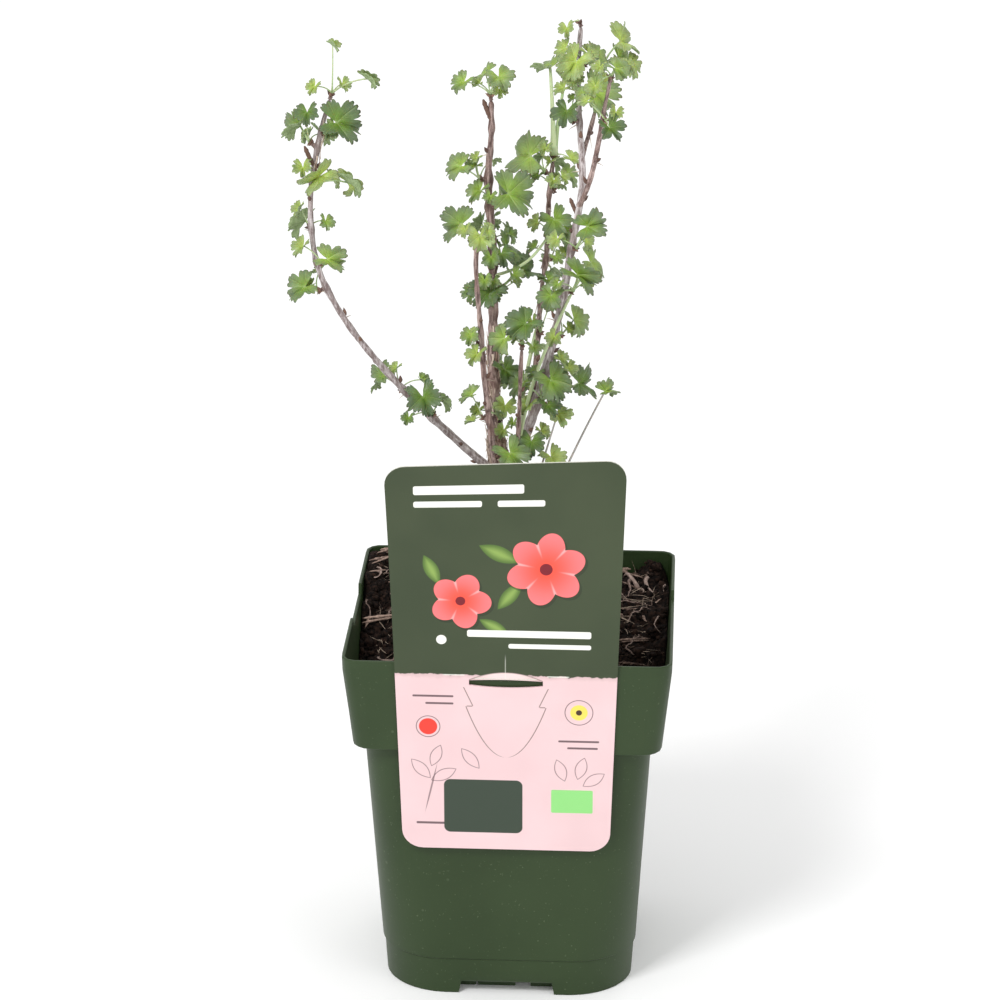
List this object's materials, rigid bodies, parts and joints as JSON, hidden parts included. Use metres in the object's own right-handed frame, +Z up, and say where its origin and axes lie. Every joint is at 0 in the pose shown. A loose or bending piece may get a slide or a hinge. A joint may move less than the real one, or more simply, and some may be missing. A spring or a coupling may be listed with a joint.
{
  "type": "potted gooseberry bush",
  "caption": "Young gooseberry bush with upright leafy shoots in a square green nursery pot of compost, with a printed card hung over the rim.",
  "frame": {"origin": "the middle of the pot's flat underside, where it stands", "axes": "+Z up the pot and the stems, -Y toward the printed card, +X to the right of one who faces the card"},
  "size_m": [0.1537, 0.1457, 0.3898],
  "materials": {
    "pot_plastic": "moulded green plastic, satin",
    "compost": "moist bark and peat compost, rough",
    "card": "printed plastic-coated card, satin",
    "old_bark": "flaking brown bark",
    "young_bark": "grey-brown young bark",
    "leaves": "soft green leaves on pale stalks"
  },
  "bodies": {
    "root": {"back": "young_bark", "back_crown": "leaves", "back_dark": "leaves", "back_high": "leaves", "back_knuckle": "leaves", "back_low": "leaves", "back_mid": "leaves", "back_shoots": "leaves", "base_long": "leaves", "base_pale": "leaves", "card": "card", "front": "young_bark", "front_high": "leaves", "front_spur": "leaves", "front_tip": "leaves", "inner": "young_bark", "inner_crown": "leaves", "left": "young_bark", "left_arch": "leaves", "left_elbow": "leaves", "left_foot": "leaves", "left_inner": "leaves", "left_low": "leaves", "left_outer": "leaves", "left_shade": "leaves", "left_shelf": "leaves", "left_tip": "leaves", "middle": "young_bark", "middle_back": "leaves", "middle_broad": "leaves", "middle_foot": "leaves", "middle_high": "leaves", "middle_hub": "leaves", "middle_left": "leaves", "middle_low": "leaves", "middle_reach": "leaves", "middle_right": "leaves", "middle_tip": "leaves", "outer": "young_bark", "outer_side": "leaves", "outer_tip": "leaves", "pot": "pot_plastic", "right": "young_bark", "right_bend": "leaves", "right_broad": "leaves", "right_crest": "leaves", "right_edge": "leaves", "right_fan": "leaves", "right_foot": "leaves", "right_fork": "leaves", "right_neck": "leaves", "right_shoulder": "leaves", "right_skirt": "leaves", "right_top": "leaves", "short": "young_bark", "short_foot": "leaves", "short_tip": "leaves", "soil": "compost", "trunk": "old_bark"}
  },
  "joints": []
}
